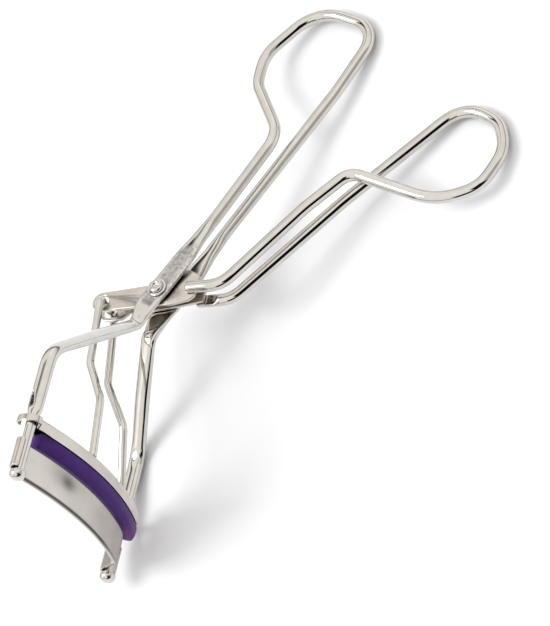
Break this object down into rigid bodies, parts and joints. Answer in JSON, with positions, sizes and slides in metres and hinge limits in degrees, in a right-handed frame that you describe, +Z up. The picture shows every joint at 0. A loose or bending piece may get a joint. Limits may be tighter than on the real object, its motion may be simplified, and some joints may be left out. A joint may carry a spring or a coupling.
{
  "type": "eyelash curler",
  "caption": "Hand eyelash curler: bent-rod frame and lever with finger rings on one rivet, fixed lower jaw and a sliding upper jaw carrying a soft silicone strip.",
  "frame": {"origin": "centre of the footprint of the bounding box, on the table", "axes": "+Z is up with the curler lying on one frame arm and both finger rings, +X runs from the jaws to the finger rings, +Y is to the left of that"},
  "size_m": [0.1118, 0.0576, 0.0435],
  "materials": {
    "polished_nickel": "polished nickel plate on carbon steel rod",
    "satin_nickel": "nickel plated steel sheet, slightly satin",
    "purple_silicone": "deep violet silicone, soft sheen"
  },
  "bodies": {
    "frame": {"frame_rod": "polished_nickel", "foot_button_near": "polished_nickel", "foot_button_far": "polished_nickel", "fixed_bow": "satin_nickel", "pivot_rivet": "polished_nickel", "rivet_washer_near": "polished_nickel", "rivet_washer_far": "polished_nickel"},
    "lever": {"lever_rod": "polished_nickel", "pivot_bracket": "satin_nickel"},
    "upper_jaw": {"moving_bow": "satin_nickel", "lash_pad": "purple_silicone", "push_wire": "polished_nickel"}
  },
  "joints": [
    {"name": "lever_pivot", "type": "hinge", "parent": "frame", "child": "lever", "pos_m": [-0.00665, 0.01369, 0.01449], "axis": [-0.2124, 0.0469, -0.9761], "range_deg": [0, 32]},
    {"name": "upper_jaw_slide", "type": "slide", "parent": "frame", "child": "upper_jaw", "axis": [0.8897, 0.4224, -0.1733], "range_m": [0, 0.0062]}
  ],
  "couplings": [
    {"joint": "upper_jaw_slide", "follows": "lever_pivot", "m_per_rad": 0.01093}
  ]
}
